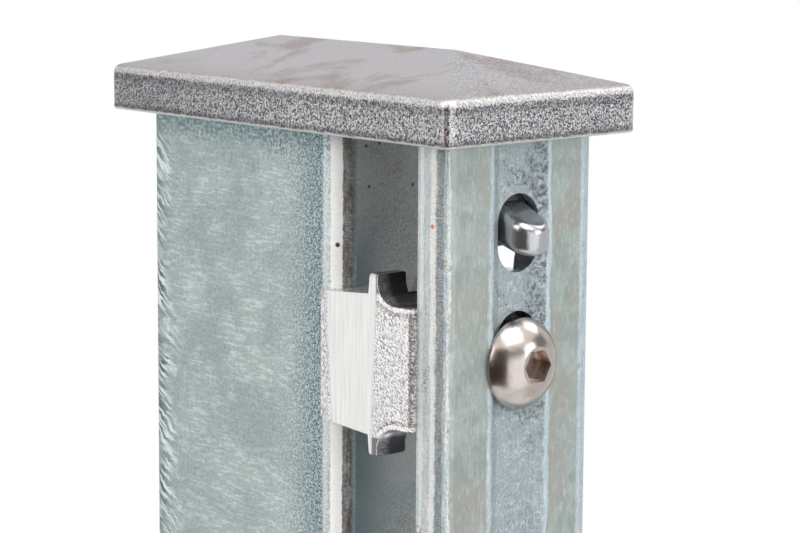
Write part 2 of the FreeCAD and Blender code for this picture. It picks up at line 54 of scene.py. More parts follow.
class Value:
    """One shader socket that can be used in plain arithmetic."""

    def __init__(self, shader, socket):
        self.shader = shader
        self.socket = socket

    def math(self, operation, other=0.0, turned=False):
        first, second = (other, self) if turned else (self, other)
        return self.shader.add("ShaderNodeMath", {0: first, 1: second}, operation=operation)

    def __add__(self, other):
        return self.math("ADD", other)

    def __radd__(self, other):
        return self.math("ADD", other, True)

    def __sub__(self, other):
        return self.math("SUBTRACT", other)

    def __rsub__(self, other):
        return self.math("SUBTRACT", other, True)

    def __mul__(self, other):
        return self.math("MULTIPLY", other)

    def __rmul__(self, other):
        return self.math("MULTIPLY", other, True)

    def __abs__(self):
        return self.math("ABSOLUTE")

    def or_nothing(self):
        """The value where it is above zero, and nothing elsewhere."""
        return self.math("MAXIMUM")

    def remainder(self, step):
        return self.math("MODULO", step)


class Shader:
    """The node tree of one finish. The add method makes any node in it."""

    def __init__(self, owner):
        owner.use_nodes = True
        self.owner = owner
        self.tree = owner.node_tree

    def add(self, kind, inputs=None, output=0, **settings):
        node = self.tree.nodes.new(kind)
        for name, setting in settings.items():
            setattr(node, name, setting)
        for name, value in (inputs or {}).items():
            self.feed(node.inputs[name], value)
        return Value(self, node.outputs[output])

    def feed(self, socket, value):
        if isinstance(value, Value):
            self.tree.links.new(value.socket, socket)
        else:
            socket.default_value = value

    def result(self, name):
        """What a node that the tree began with gives."""
        return Value(self, self.tree.nodes[name].outputs[0])

    def end(self, name, result):
        """Send a result to the tree's output node."""
        self.feed(self.tree.nodes[name].inputs["Surface"], result)

    def surface(self, **sockets):
        """Set the finish's own sockets, given by their names with spaces as underscores."""
        face = self.tree.nodes["Principled BSDF"]
        for name, value in sockets.items():
            self.feed(face.inputs[name.replace("_", " ")], value)
        return self.owner

    def point(self):
        return self.add("ShaderNodeTexCoord", output="Object")

    def split(self, point):
        """The three coordinates of a point, as separate values."""
        return [self.add("ShaderNodeSeparateXYZ", {0: point}, output=axis) for axis in "XYZ"]

    def stretched(self, across, deep, up):
        """The object's own point with each coordinate scaled on its own."""
        return self.add("ShaderNodeVectorMath", {0: self.point(), 1: (across, deep, up)},
                        operation="MULTIPLY")

    def distance(self, point, middle=(0.0, 0.0, 0.0)):
        return self.add("ShaderNodeVectorMath", {0: point, 1: middle}, output="Value", operation="DISTANCE")

    def noise(self, point, scale, detail, rough, bend=0.0):
        return self.add("ShaderNodeTexNoise", {"Vector": point, "Scale": scale, "Detail": detail,
                                               "Roughness": rough, "Distortion": bend})

    def speck(self, point, scale, low, high):
        """Small spots of a noise, one where it is high and nothing where it is low."""
        return self.between(self.noise(point, scale, 2.0, 0.6), low, high)

    def between(self, value, low, high, start=0.0, end=1.0):
        """A smooth step from start to end while value goes from low to high."""
        return self.add("ShaderNodeMapRange", {"Value": value, "From Min": low, "From Max": high,
                                               "To Min": start, "To Max": end},
                        interpolation_type="SMOOTHSTEP", clamp=True)

    def band(self, value, middle, half, soft):
        """One inside a band round middle, and nothing outside it."""
        return (self.between(value, middle - half - soft, middle - half)
                * self.between(value, middle + half, middle + half + soft, 1.0, 0.0))

    def mix(self, share, first, second):
        return self.add("ShaderNodeMix", {0: share, 6: first, 7: second}, output=2, data_type="RGBA")

    def bump(self, height, strength, distance):
        return self.add("ShaderNodeBump", {"Height": height, "Strength": strength, "Distance": distance})


# A sheet or slit has a middle, a half width and a soft edge, in radians from left round to front
DARK_ROOM = (0.33, 0.56, 0.12)
LEFT_SHEET = (-0.80, 0.50, 0.20)
FRONT_SHEET = (1.52, 0.46, 0.12)
FRONT_SLIT = (1.55, 0.62, 0.20)
LEFT_SLIT = (-0.80, 0.80, 0.25)
RIGHT_SLIT = (2.55, 0.30, 0.15)
SHEET_TOP = (0.14, 0.28)
DARK_TOP = (0.45, 0.66)
CEILING_FOOT = (0.46, 0.62)
FRONT_SLIT_HEIGHT = (0.36, 0.06, 0.08)
SIDE_SLIT_HEIGHT = (0.36, 0.14, 0.07)
ROOM_GLOW = 0.80
FRONT_SHEET_GLOW = 0.62
LEFT_SHEET_GLOW = 0.22
CEILING_GLOW = 0.30
DARK_ROOM_LOSS = 0.70
FRONT_SLIT_LOSS = 0.48
SIDE_SLIT_LOSS = 0.55
ROOM_BROWN = (0.66, 0.44, 0.36, 1.0)
WHITE = (1.0, 1.0, 1.0, 1.0)


def light_studio():
    """A bright room with two white sheets, a dark brown corner between them and dark slits above."""
    world = bpy.data.worlds.new("studio")
    shader = Shader(world)
    bpy.context.scene.world = world
    east, north, high = shader.split(shader.add("ShaderNodeTexCoord", output="Generated"))
    turn = (north * -1.0).math("ARCTAN2", east * -1.0)
    low = shader.between(high, *SHEET_TOP, 1.0, 0.0)
    dark = shader.band(turn, *DARK_ROOM) * shader.between(high, *DARK_TOP, 1.0, 0.0)
    front_slit = shader.band(turn, *FRONT_SLIT) * shader.band(high, *FRONT_SLIT_HEIGHT)
    side_slits = ((shader.band(turn, *LEFT_SLIT) + shader.band(turn, *RIGHT_SLIT))
                  * shader.band(high, *SIDE_SLIT_HEIGHT))
    gain = (FRONT_SHEET_GLOW * shader.band(turn, *FRONT_SHEET) * low
            + LEFT_SHEET_GLOW * shader.band(turn, *LEFT_SHEET) * low
            + CEILING_GLOW * shader.between(high, *CEILING_FOOT))
    loss = (DARK_ROOM_LOSS * dark
            + (FRONT_SLIT_LOSS * front_slit + SIDE_SLIT_LOSS * side_slits) * (1.0 - dark))
    background = shader.tree.nodes["Background"]
    shader.feed(background.inputs["Color"], shader.mix(dark, WHITE, ROOM_BROWN))
    shader.feed(background.inputs["Strength"], ROOM_GLOW + gain - loss)
    plain = shader.add("ShaderNodeBackground", {"Color": WHITE, "Strength": 1.0})
    seen = shader.add("ShaderNodeLightPath", output="Is Camera Ray")
    through = shader.add("ShaderNodeLightPath", output="Is Transmission Ray")
    both = shader.add("ShaderNodeMixShader", {0: seen + through, 1: shader.result("Background"), 2: plain})
    shader.end("World Output", both)


light_studio()

FLOOR_RADIUS = 0.95
FLOOR_STEPS = 96
FLOOR_DROP = 0.0005
FLOOR_FADE = (FLOOR_RADIUS * 0.35, FLOOR_RADIUS * 0.95)
FLOOR_COLOUR = (0.80, 0.80, 0.80, 1.0)


def lay_floor():
    """A pale round floor that keeps the post's shadow and fades into the white background."""
    turns = [2 * math.pi * step / FLOOR_STEPS for step in range(FLOOR_STEPS)]
    points = [(FLOOR_RADIUS * math.cos(turn), FLOOR_RADIUS * math.sin(turn), -FLOOR_DROP) for turn in turns]
    mesh = bpy.data.meshes.new("floor")
    mesh.from_pydata(points, [], [list(range(FLOOR_STEPS))])
    floor = bpy.data.objects.new("floor", mesh)
    bpy.context.scene.collection.objects.link(floor)
    shader = Shader(bpy.data.materials.new("floor"))
    fade = shader.between(shader.distance(shader.point()), *FLOOR_FADE)
    seen = shader.add("ShaderNodeLightPath", output="Is Camera Ray")
    glow = shader.add("ShaderNodeEmission", {"Strength": 1.0})
    mesh.materials.append(shader.surface(Base_Color=FLOOR_COLOUR, Roughness=0.9))
    both = shader.add("ShaderNodeMixShader", {0: fade * seen, 1: shader.result("Principled BSDF"), 2: glow})
    shader.end("Material Output", both)


lay_floor()

LAMP_AIM = Vector((0.0, -0.015, 0.95))


def hang_lamp(name, spot, side, power):
    data = bpy.data.lights.new(name, "AREA")
    data.shape = "SQUARE"
    data.size = side
    data.energy = power
    lamp = bpy.data.objects.new(name, data)
    lamp.location = spot
    lamp.rotation_euler = (LAMP_AIM - Vector(spot)).to_track_quat("-Z", "Y").to_euler()
    bpy.context.scene.collection.objects.link(lamp)


hang_lamp("key_lamp", (-1.5, 0.1, 1.75), side=0.9, power=11.0)
hang_lamp("high_lamp", (-0.15, -0.75, 2.5), side=1.1, power=17.0)
hang_lamp("front_lamp", (0.75, -1.6, 1.55), side=0.8, power=6.0)
hang_lamp("back_lamp", (1.6, -0.3, 2.6), side=0.9, power=6.0)

# Post tube
# A cold-formed box section, dipped in molten zinc after cutting. Its foot goes into the ground.
# The zinc froze as a cloudy grey-green skin, feathery at the rear edges and grainy at the front ones.
# A place with two numbers is a smooth step; with three, a band's middle, half width and soft edge
TUBE_SIDE = (0.0184, 0.0192)
TUBE_FRONT = -0.030
TUBE_TOP = 1.100
TOP_SHADE = (TUBE_TOP - 0.0130, TUBE_TOP - 0.0070)
UPPER_GAP = (1.060, 1.085)
SPECKLE_STEP = (-0.0102, -0.0086)
SPECKLE_FULL = 0.0030
DARK_BAND_RISE = (-0.0075, 0.0050)
DARK_BAND_END = (0.0046, 0.0056)
# The pale band, white line and edge line are painted highlight down the front bend, the brown line a
# painted reflection
PALE_BAND = (0.0070, 0.0013, 0.0006)
WHITE_HIGHLIGHT = (0.0091, 0.0015, 0.0003)
BROWN_REFLECTION = (0.0121, 0.0011, 0.0003)
EDGE_HIGHLIGHT = (0.0140, 0.0002, 0.0002)
FRONT_FACE = (0.0140, 0.0147)
FACE_SHADE = (0.0145, 0.0265)
REAR_FEATHERS = (0.0170, 0.0270)
REAR_EDGE = (0.0225, 0.0280)
ZINC_GREY = (0.31, 0.385, 0.385, 1.0)
ZINC_CLOUD = (0.42, 0.495, 0.475, 1.0)
ZINC_WHITE = (0.80, 0.86, 0.86, 1.0)
ZINC_BLUE = (0.085, 0.165, 0.20, 1.0)
FEATHER_BLUE = (0.050, 0.105, 0.130, 1.0)
ZINC_SHADE = (0.86, 0.92, 0.92, 1.0)
ZINC_TAN = (0.60, 0.53, 0.46, 1.0)
REFLECTED_BROWN = (0.115, 0.065, 0.050, 1.0)
RUST = (0.045, 0.018, 0.012, 1.0)
BEND_SPECK = (-0.0190, -0.0284, 1.0724)
BEND_SPECK_SIZE = (0.0003, 0.0006)
FACE_SPECKS = ((-0.0132, 1.0912), (-0.0124, 1.0833), (-0.0098, 1.0915), (-0.0010, 1.0828))
FACE_SPECK_SIZE = (0.0002, 0.0005)
# A noise has a scale, a detail, a roughness and a bend; a grain has a scale and a smooth step
CLOUDS = (60.0, 4.0, 0.6, 0.8)
TAN_PATCHES = (170.0, 4.0, 0.6)
FEATHER_TUFTS = (110.0, 3.0, 0.6)
RAGGED_EDGE = (900.0, 3.0, 0.65)
RAGGED_BY = 0.0009
ZINC_GRAIN = (2600.0, 0.36, 0.64)
COARSE_GRAIN = (1300.0, 0.38, 0.62)
# How strongly each coordinate is scaled, so that a pattern is long where the number is small
FROST_STROKES = (330.0, 330.0, 2300.0)
BEND_STREAKS = (2600.0, 2600.0, 160.0)
BEND_BLOTCHES = (520.0, 520.0, 230.0)
SWELL_BAND = 0.0060
SWELL_TOP = 0.014
SWELL_REAR = 0.024


def dress(node, material):
    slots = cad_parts[node].data.materials
    slots.clear()
    slots.append(material)


def tube_zinc():
    shader = Shader(bpy.data.materials.new("tube_zinc"))
    point = shader.point()
    across, deep, up = shader.split(point)
    side = abs(across)
    on_side = shader.between(side, *TUBE_SIDE)
    clouds = shader.noise(point, *CLOUDS)
    grain = shader.speck(point, *ZINC_GRAIN)
    coarse = shader.speck(point, *COARSE_GRAIN)
    # The way round the front bend grows from the side face to the front face, with a ragged edge
    ragged = shader.noise(point, *RAGGED_EDGE) - 0.5
    round_way = ragged * RAGGED_BY - deep - side

    # Cloudy skin with level strokes of frost
    frost = shader.speck(shader.stretched(*FROST_STROKES), 1.0, 0.48, 0.64)
    skin = shader.mix(shader.between(clouds, 0.36, 0.64), ZINC_GREY, ZINC_CLOUD)
    skin = shader.mix(frost * shader.between(clouds, 0.38, 0.60, 0.12, 0.44), skin, ZINC_WHITE)
    skin = shader.mix((1.0 - coarse) * grain * 0.32, skin, ZINC_BLUE)
    skin = shader.mix(coarse * grain * 0.14, skin, ZINC_WHITE)

    # Speckle towards the front bend, a dark band, and a pale band that is the painted fringe of the bend's
    # highlight
    front = (shader.between(round_way, *SPECKLE_STEP, 0.0, 0.55)
             + shader.between(round_way, SPECKLE_STEP[1], SPECKLE_FULL, 0.0, 0.45)) * on_side
    dark_band = (shader.between(round_way + (clouds - 0.5) * SWELL_BAND, *DARK_BAND_RISE)
                 * shader.between(round_way, *DARK_BAND_END, 1.0, 0.0))
    mottle = 0.45 * coarse + 0.55 * grain
    skin = shader.mix(front * grain * 0.52, skin, ZINC_WHITE)
    skin = shader.mix((front * 0.26 + dark_band * 0.80) * (1.0 - 0.95 * mottle), skin, ZINC_BLUE)
    skin = shader.mix(shader.band(round_way, *PALE_BAND) * (0.35 + 0.40 * grain), skin, ZINC_WHITE)

    # Feathers that sweep down from the rear edges, and painted shade, mottled, under the cap
    swell = (clouds - 0.5) * SWELL_REAR
    sweep = shader.add("ShaderNodeCombineXYZ", {1: deep * -110.0 - up * 80.0,
                                                2: up * 1040.0 - deep * 700.0 + clouds * 9.0})
    feathers = shader.speck(sweep, 1.0, 0.44, 0.58)
    tufts = shader.between(shader.noise(point, *FEATHER_TUFTS), 0.40, 0.56)
    rear = shader.between(deep + swell, *REAR_FEATHERS) * on_side
    edge = shader.between(deep + swell * 0.6, *REAR_EDGE) * on_side
    hollows = (rear * 0.30 + edge * 0.68) * (1.0 - feathers) * (0.50 + 0.50 * tufts)
    skin = shader.mix(hollows, skin, FEATHER_BLUE)
    skin = shader.mix(rear * feathers * tufts * 0.90, skin, ZINC_WHITE)
    top = shader.between(up + (clouds - 0.5) * SWELL_TOP, *TOP_SHADE) * on_side
    skin = shader.mix(top * (0.80 - 0.70 * coarse), skin, ZINC_BLUE)

    # Front face on a pale base, painted light against the strip's shade, with painted shade towards the
    # bend; towards the top that shade thins and white grain grows, more painted light against the cap's
    # shadow
    tan = shader.between(shader.noise(point, *TAN_PATCHES), 0.50, 0.68)
    face = shader.mix(tan * 0.4, ZINC_SHADE, ZINC_TAN)
    dull = shader.between(clouds, 0.42, 0.62, 0.32, 0.12)
    face = shader.mix((1.0 - coarse * grain) * dull, face, ZINC_BLUE)
    face = shader.mix(grain * coarse * shader.between(up, *UPPER_GAP, 0.40, 0.85), face, WHITE)
    shade = shader.between(round_way, *FACE_SHADE, 0.80, 0.0) * shader.between(up, *UPPER_GAP, 1.0, 0.45)
    face = shader.mix(shade, face, ZINC_BLUE)

    # Lines that run down the bend: a painted white highlight, a painted brown reflection and a thin painted
    # highlight at the front face's edge
    white_highlight = shader.band(round_way, *WHITE_HIGHLIGHT)
    brown_reflection = shader.band(round_way, *BROWN_REFLECTION)
    inner = shader.between(round_way, *FRONT_FACE)
    streaks = shader.speck(shader.stretched(*BEND_STREAKS), 1.0, 0.40, 0.62)
    blotch = shader.speck(shader.stretched(*BEND_BLOTCHES), 1.0, 0.46, 0.60)
    faded = 0.30 * streaks + 0.30 * grain * coarse + 0.26 * blotch
    colour = shader.mix(inner, skin, face)
    colour = shader.mix(white_highlight * (0.90 + 0.10 * grain), colour, WHITE)
    colour = shader.mix(brown_reflection * (0.97 - faded), colour, REFLECTED_BROWN)
    colour = shader.mix(shader.band(round_way, *EDGE_HIGHLIGHT) * grain * 0.8, colour, ZINC_WHITE)

    # Specks of rust
    speck = shader.between(shader.distance(point, BEND_SPECK), *BEND_SPECK_SIZE, 1.0, 0.0)
    colour = shader.mix(speck, colour, RUST)
    for speck_across, speck_up in FACE_SPECKS:
        away = shader.distance(point, (speck_across, TUBE_FRONT, speck_up))
        colour = shader.mix(shader.between(away, *FACE_SPECK_SIZE, 0.85, 0.0), colour, RUST)

    painted = shader.between(white_highlight + brown_reflection, 0.0, 1.0)
    metal = 0.80 - 0.72 * painted - 0.65 * inner
    rough = 0.36 + 0.12 * clouds + 0.10 * grain * front + 0.10 * painted
    relief = (0.30 * grain * (0.35 + 0.65 * front + 0.60 * inner) + 0.35 * feathers * rear
              + 0.30 * coarse * (0.35 + 0.65 * front) + 0.20 * frost)
    return shader.surface(Base_Color=colour, Roughness=rough, Metallic=metal,
                          Normal=shader.bump(relief, strength=0.50, distance=0.00018))


dress("post_tube", tube_zinc())

# Cover strip
# Roll-formed from galvanised sheet, with a groove down its middle and slots punched in pairs.
# The lands stayed smooth and grey-green; rolling drew pale and blue lines down the bends and groove. Down
# the left bend, highlights and a line of shade are painted.
GROOVE_SIDE = (0.0067, 0.0073)
GROOVE_LIP = (0.0074, 0.0007, 0.0005)
MOTTLED_FROM = (1.032, 1.050)
LANDS = (0.01305, 0.00475, 0.0004)
RIGHT_LAND_END = (0.0157, 0.0165)
RIGHT_BEND = (0.0155, 0.0165)
REAR_CREAM = (0.0331, 0.0003, 0.0004)
# The first and second lines down the left bend are painted highlights, the bend's shadow between them
# painted shade
FIRST_HIGHLIGHT = (0.0362, 0.0004, 0.0005)
BEND_SHADOW = (0.0380, 0.0007, 0.0005)
SECOND_HIGHLIGHT = (0.0403, 0.0004, 0.0005)
LAND_GREEN = (0.295, 0.340, 0.315, 1.0)
LAND_PALE = (0.42, 0.475, 0.46, 1.0)
LAND_WARM = (0.34, 0.325, 0.28, 1.0)
BEND_GREY = (0.64, 0.68, 0.67, 1.0)
BEND_CREAM = (0.92, 0.90, 0.85, 1.0)
BEND_BLUE = (0.30, 0.43, 0.51, 1.0)
BEND_DARK = (0.20, 0.24, 0.26, 1.0)
BEND_WHITE = (0.80, 0.86, 0.88, 1.0)
LIP_BLUE = (0.40, 0.50, 0.55, 1.0)
GROOVE_GREY = (0.325, 0.385, 0.40, 1.0)
GROOVE_DARK = (0.085, 0.105, 0.12, 1.0)
ORANGE = (0.80, 0.18, 0.05, 1.0)
ORANGE_SPECK = (-0.0200, -0.0559, 1.0790)
ORANGE_SIZE = (0.0002, 0.0006)
DRIP = (-0.0200, -0.0526, 1.0212)
DRIP_SIZE = (0.0005, 0.0013)
DRIP_RING = (0.0007, 0.0001, 0.0002)
LINE_DRIFT = (300.0, 300.0, 120.0)
DRIFT_OF_EDGES = 0.0021
DRIFT_OF_LINES = 0.0019
STRIP_RAGGED = (1100.0, 3.0, 0.65)
STRIP_GRAIN = (2500.0, 0.36, 0.64)
STRIP_COARSE = (1200.0, 0.38, 0.62)
STRIP_BLOTS = (150.0, 4.0, 0.65, 0.6)
DRAWN_LINES = (2400.0, 2400.0, 130.0)
CRYSTALS = (170.0, 60.0, 85.0)
SCRATCHES = (1500.0, 1500.0, 500.0)
GROOVE_PATCHES = (120.0, 4.0, 0.7, 0.9)
GROOVE_LEAN = 16.0
GROOVE_WAVES = (420.0, 420.0, 900.0)


def strip_zinc():
    shader = Shader(bpy.data.materials.new("strip_zinc"))
    point = shader.point()
    across, deep, up = shader.split(point)
    side = abs(across)
    drift = shader.noise(shader.stretched(*LINE_DRIFT), 1.0, 4.0, 0.65) - 0.5
    ragged = shader.noise(point, *STRIP_RAGGED) - 0.5
    edge = side + drift * DRIFT_OF_EDGES + ragged * 0.0008
    # The way round the bend grows from the flange's rear edge to the land
    round_way = drift * DRIFT_OF_LINES + ragged * RAGGED_BY - deep - side
    grain = shader.speck(point, *STRIP_GRAIN)
    coarse = shader.speck(point, *STRIP_COARSE)
    drawn = shader.speck(shader.stretched(*DRAWN_LINES), 1.0, 0.38, 0.62)
    blots = shader.noise(point, *STRIP_BLOTS)

    # Lands, tinted crystal by crystal
    crystals = {"Vector": shader.stretched(*CRYSTALS), "Scale": 1.0, "Randomness": 1.0}
    tint = shader.split(shader.add("ShaderNodeTexVoronoi", crystals, output="Color", feature="F1"))[0]
    scratched = shader.speck(shader.stretched(*SCRATCHES), 1.0, 0.50, 0.70)
    land = shader.mix(shader.between(blots, 0.38, 0.62) * 0.55 + 0.45 * tint, LAND_GREEN, LAND_PALE)
    land = shader.mix(shader.between(tint + blots, 1.05, 1.35) * 0.6, land, LAND_WARM)
    land = shader.mix(0.16 * scratched, land, BEND_WHITE)
    land = shader.mix(0.20 * (1.0 - coarse) * grain, land, BEND_DARK)
    lands = shader.band(edge, *LANDS) * shader.between(across, *RIGHT_LAND_END, 1.0, 0.0)

    # Flanges and bends, with drawn lines of cream and blue, painted highlights down the left bend and a
    # painted shade line between them
    bend = shader.mix(drawn * 0.55, BEND_GREY, BEND_BLUE)
    bend = shader.mix(0.35 * grain * shader.between(blots, 0.35, 0.6), bend, BEND_CREAM)
    bend = shader.mix(shader.between(blots, 0.60, 0.68) * (1.0 - coarse) * 0.8, bend, BEND_DARK)
    bend = shader.mix((1.0 - coarse) * 0.20, bend, BEND_DARK)
    cream_and_highlight = shader.band(round_way, *FIRST_HIGHLIGHT) + 0.7 * shader.band(round_way, *REAR_CREAM)
    bend = shader.mix(cream_and_highlight * (0.40 + 0.30 * drawn + 0.25 * grain), bend, BEND_CREAM)
    shadow = shader.band(round_way, *BEND_SHADOW) * shader.between(blots, 0.25, 0.50, 0.30, 0.75)
    bend = shader.mix(shadow * (1.0 - 0.40 * grain), bend, BEND_DARK)
    second_highlight = shader.band(round_way, *SECOND_HIGHLIGHT)
    bend = shader.mix(second_highlight * 0.35 * grain, bend, BEND_CREAM)
    bend = shader.mix(shader.between(across, *RIGHT_BEND) * 0.40, bend, BEND_BLUE)

    # Groove, mottled dark towards its right side and near the top
    leaning = shader.noise(point, *GROOVE_PATCHES) + across * GROOVE_LEAN
    patches = shader.between(leaning, 0.45, 0.62) * shader.between(up, *MOTTLED_FROM, 0.30, 1.0)
    waves = shader.speck(shader.stretched(*GROOVE_WAVES), 1.0, 0.50, 0.64)
    groove = shader.mix((0.10 + 0.90 * patches) * (1.0 - 0.80 * coarse), GROOVE_GREY, GROOVE_DARK)
    groove = shader.mix(grain * (0.16 + 0.28 * waves), groove, BEND_WHITE)
    in_groove = shader.between(edge, *GROOVE_SIDE, 1.0, 0.0)
    lip = shader.band(edge, *GROOVE_LIP)
    bend = shader.mix(lip * (0.85 - 0.35 * drawn), bend, LIP_BLUE)
    bend = shader.mix(lip * drawn * grain * 0.50, bend, BEND_WHITE)
    colour = shader.mix(lands, shader.mix(in_groove, bend, groove), land)

    # An orange speck and a frozen drip on the left flange
    speck = shader.between(shader.distance(point, ORANGE_SPECK), *ORANGE_SIZE, 1.0, 0.0)
    colour = shader.mix(speck, colour, ORANGE)
    away = shader.distance(point, DRIP)
    drip = shader.between(away, *DRIP_SIZE, 1.0, 0.0)
    colour = shader.mix(shader.band(away, *DRIP_RING) * 0.75, colour, LAND_WARM)

    rough = 0.38 + 0.10 * blots + 0.08 * grain * (1.0 - lands)
    relief = ((0.35 * drawn + 0.45 * grain + 0.35 * coarse) * (1.0 - 0.75 * lands)
              + 0.20 * scratched + 0.8 * (lip + second_highlight) * (drift + 0.5) + 3.0 * drip)
    return shader.surface(Base_Color=colour, Roughness=rough, Metallic=0.72,
                          Normal=shader.bump(relief, strength=0.50, distance=0.00018))


dress("cover_strip", strip_zinc())

# Post cap
# One aluminium casting with a grainy skirt and a smoother hipped roof, pressed into the tube's top.
# Handling has stained the roof brown in places, and a line below the eaves and the rim are bright.
CAP_EAVE = 1.1030
CAP_RIM = 1.0942
CAP_MIDDLE = -0.0145
CAP_CORNER = 0.0256
# The corner band holds a painted highlight, the band in its middle a painted brown reflection
CORNER_BAND = (CAP_CORNER, 0.0015, 0.0006)
CORNER_REFLECTION_BAND = (CAP_CORNER - 0.0004, 0.0005, 0.0003)
HIP_START = (CAP_CORNER - 0.0008, CAP_CORNER + 0.0008)
ROOF_START = (CAP_EAVE - 0.0007, CAP_EAVE + 0.0002)
EAVE_STAIN = (CAP_EAVE + 0.0002, CAP_EAVE + 0.0022)
RIM_TOP = (CAP_RIM + 0.0003, CAP_RIM + 0.0007)
FOOT_TOP = (CAP_RIM + 0.0008, CAP_RIM + 0.0019)
SKIRT_SPAN = (-0.030, 0.030)
EDGE_WANDER = (500.0, 2.0, 0.6)
WANDER_BY = 0.0006
CAST_GRAIN = (2500.0, 2.0, 0.6, 0.9)
FINE_GRAIN = (3600.0, 0.38, 0.62)
STAIN_CLOUDS = (60.0, 4.0, 0.6, 0.7)
SCUFF_MARKS = (620.0, 3.0, 0.7, 1.5)
EAVE_LINE = (CAP_EAVE - 0.0006, 0.0003, 0.0005)
UNDER_LINE = (CAP_EAVE - 0.0021, 0.0003, 0.0007)
CAST_LIGHT = (0.76, 0.75, 0.76, 1.0)
CAST_DARK = (0.048, 0.050, 0.062, 1.0)
CAST_TOP = (0.44, 0.425, 0.45, 1.0)
CAST_BRIGHT = (0.88, 0.86, 0.84, 1.0)
STAIN = (0.27, 0.20, 0.17, 1.0)
REFLECTED_CORNER_BROWN = (0.075, 0.045, 0.035, 1.0)


def cap_cast():
    shader = Shader(bpy.data.materials.new("cap_cast"))
    point = shader.point()
    across, deep, up = shader.split(point)
    # The way past the corner grows from the long sides to the short ends
    past_corner = abs(deep - CAP_MIDDLE) - abs(across)
    level = up + (shader.noise(point, *EDGE_WANDER) - 0.5) * WANDER_BY
    grain = shader.between(shader.noise(point, *CAST_GRAIN), 0.44, 0.57)
    fine = shader.speck(point, *FINE_GRAIN)
    clouds = shader.noise(point, *STAIN_CLOUDS)

    # Skirt, darker towards the rear, with a painted highlight down its rounded corners and a painted brown
    # reflection down their middle
    corner = shader.band(past_corner, *CORNER_BAND)
    corner_reflection = shader.band(past_corner, *CORNER_REFLECTION_BAND)
    foot = shader.between(level, *FOOT_TOP, 1.0, 0.0)
    light_grain_share = 0.84 - 0.30 * shader.between(deep, *SKIRT_SPAN)
    skirt = shader.mix(grain * light_grain_share + fine * 0.12 + corner * 0.30, CAST_DARK, CAST_LIGHT)
    skirt = shader.mix(corner_reflection * (0.95 - 0.50 * grain), skirt, REFLECTED_CORNER_BROWN)
    skirt = shader.mix(foot * (0.85 - 0.5 * fine), skirt, CAST_DARK)
    skirt = shader.mix(shader.band(level, *UNDER_LINE) * (0.55 - 0.35 * fine), skirt, CAST_DARK)

    # Roof, with brown stains, white scuffs and more grain on the hipped ends, which darkens them as painted
    # shade
    hip = shader.between(past_corner, *HIP_START)
    scuffs = (shader.between(shader.noise(point, *SCUFF_MARKS), 0.66, 0.72)
              * shader.between(clouds, 0.42, 0.55, 1.0, 0.0))
    eave = shader.between(up, *EAVE_STAIN, 1.0, 0.0)
    top = shader.mix(0.62 * shader.between(clouds, 0.50, 0.62), CAST_TOP, STAIN)
    top = shader.mix(scuffs * 0.55, top, CAST_BRIGHT)
    top = shader.mix(eave * (0.10 + 0.40 * clouds), top, STAIN)
    top = shader.mix((0.07 + 0.16 * hip) * grain, top, CAST_LIGHT)
    top = shader.mix((0.09 + 0.26 * hip) * (1.0 - grain), top, CAST_DARK)

    roof = shader.between(up, *ROOF_START)
    eave_line = shader.band(level, *EAVE_LINE) * (0.35 + 0.65 * fine)
    rim = shader.between(level, *RIM_TOP, 1.0, 0.0)
    colour = shader.mix(eave_line * 0.75 + rim * 0.7, shader.mix(roof, skirt, top), CAST_BRIGHT)
    rough = 0.30 + 0.10 * clouds + 0.06 * fine
    relief = (grain + 0.25 * fine) * (1.0 - 0.85 * roof) * (1.0 - 0.75 * corner)
    return shader.surface(Base_Color=colour, Roughness=rough, Metallic=0.85,
                          Normal=shader.bump(relief, strength=0.70, distance=0.00022))


dress("post_cap", cap_cast())

# Panel clamps
# Cast in one piece with their lugs and finger, then ground bright down both sides.
# The rest keeps the stippled skin of the mould. Saddles, lugs and finger are smooth, with bright rims; the
# highlight along the saddles' rims is painted.
CLAMP_NUMBERS = range(1, 5)
LOWEST_CLAMP = 0.4515
CLAMP_SPACING = 0.2
GROUND_SIDE = (0.0222, 0.0224)
GROUND_FRONT = (-0.0428, -0.0421)
GROUND_REAR = (-0.0298, -0.0293)
REACH_RISE = (-0.012, 0.012)
REACH_MOST = 0.0010
WEAR_RISE = (-0.014, 0.012)
WEAR_MOST = 0.0014
LUG_BAND = (0.0165, 0.0024, 0.0006)
LUG_FRONT = -0.0440
RIM_END = (LUG_FRONT - 0.0005, LUG_FRONT)
SADDLE_HEIGHT = 0.01165
SADDLE_ROUND = 0.0043
SADDLE_EDGE = (SADDLE_ROUND + 0.0001, SADDLE_ROUND + 0.0002)
# A painted highlight runs along the saddle's rim
SADDLE_RIM = (SADDLE_ROUND + 0.0005, 0.0003, 0.0002)
SADDLE_GROOVE = (SADDLE_ROUND + 0.0013, 0.0003, 0.0003)
SADDLE_OUTSIDE = (0.0190, 0.0212)
# A painted brown reflection runs down the front corner
FRONT_CORNER = (0.0306, 0.0005, 0.0005)
FINGER_ROOT = (-0.0562, -0.0558)
